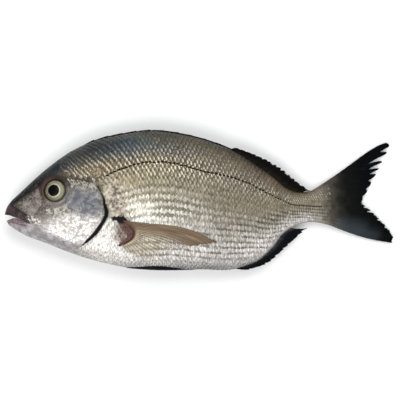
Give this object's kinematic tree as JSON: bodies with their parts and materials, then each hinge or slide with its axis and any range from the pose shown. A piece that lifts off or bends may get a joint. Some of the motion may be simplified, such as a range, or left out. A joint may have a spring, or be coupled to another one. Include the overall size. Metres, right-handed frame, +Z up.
{
  "type": "whole sea bream",
  "caption": "Whole raw sea bream lying on its right flank: a deep, narrow body with a small mouth, a folded spiny back fin, swept breast fins and a forked tail fin.",
  "frame": {"origin": "on the surface below the fish, under the middle of its outline as seen from above", "axes": "+X from head to tail, +Y towards the back, +Z up, out of the left flank"},
  "size_m": [0.2996, 0.1082, 0.0364],
  "materials": {
    "skin": "satin",
    "fins": "satin",
    "eyes": "gloss"
  },
  "bodies": {
    "root": {"fish": "skin", "eye_left": "eyes", "eye_right": "eyes"}
  },
  "joints": []
}
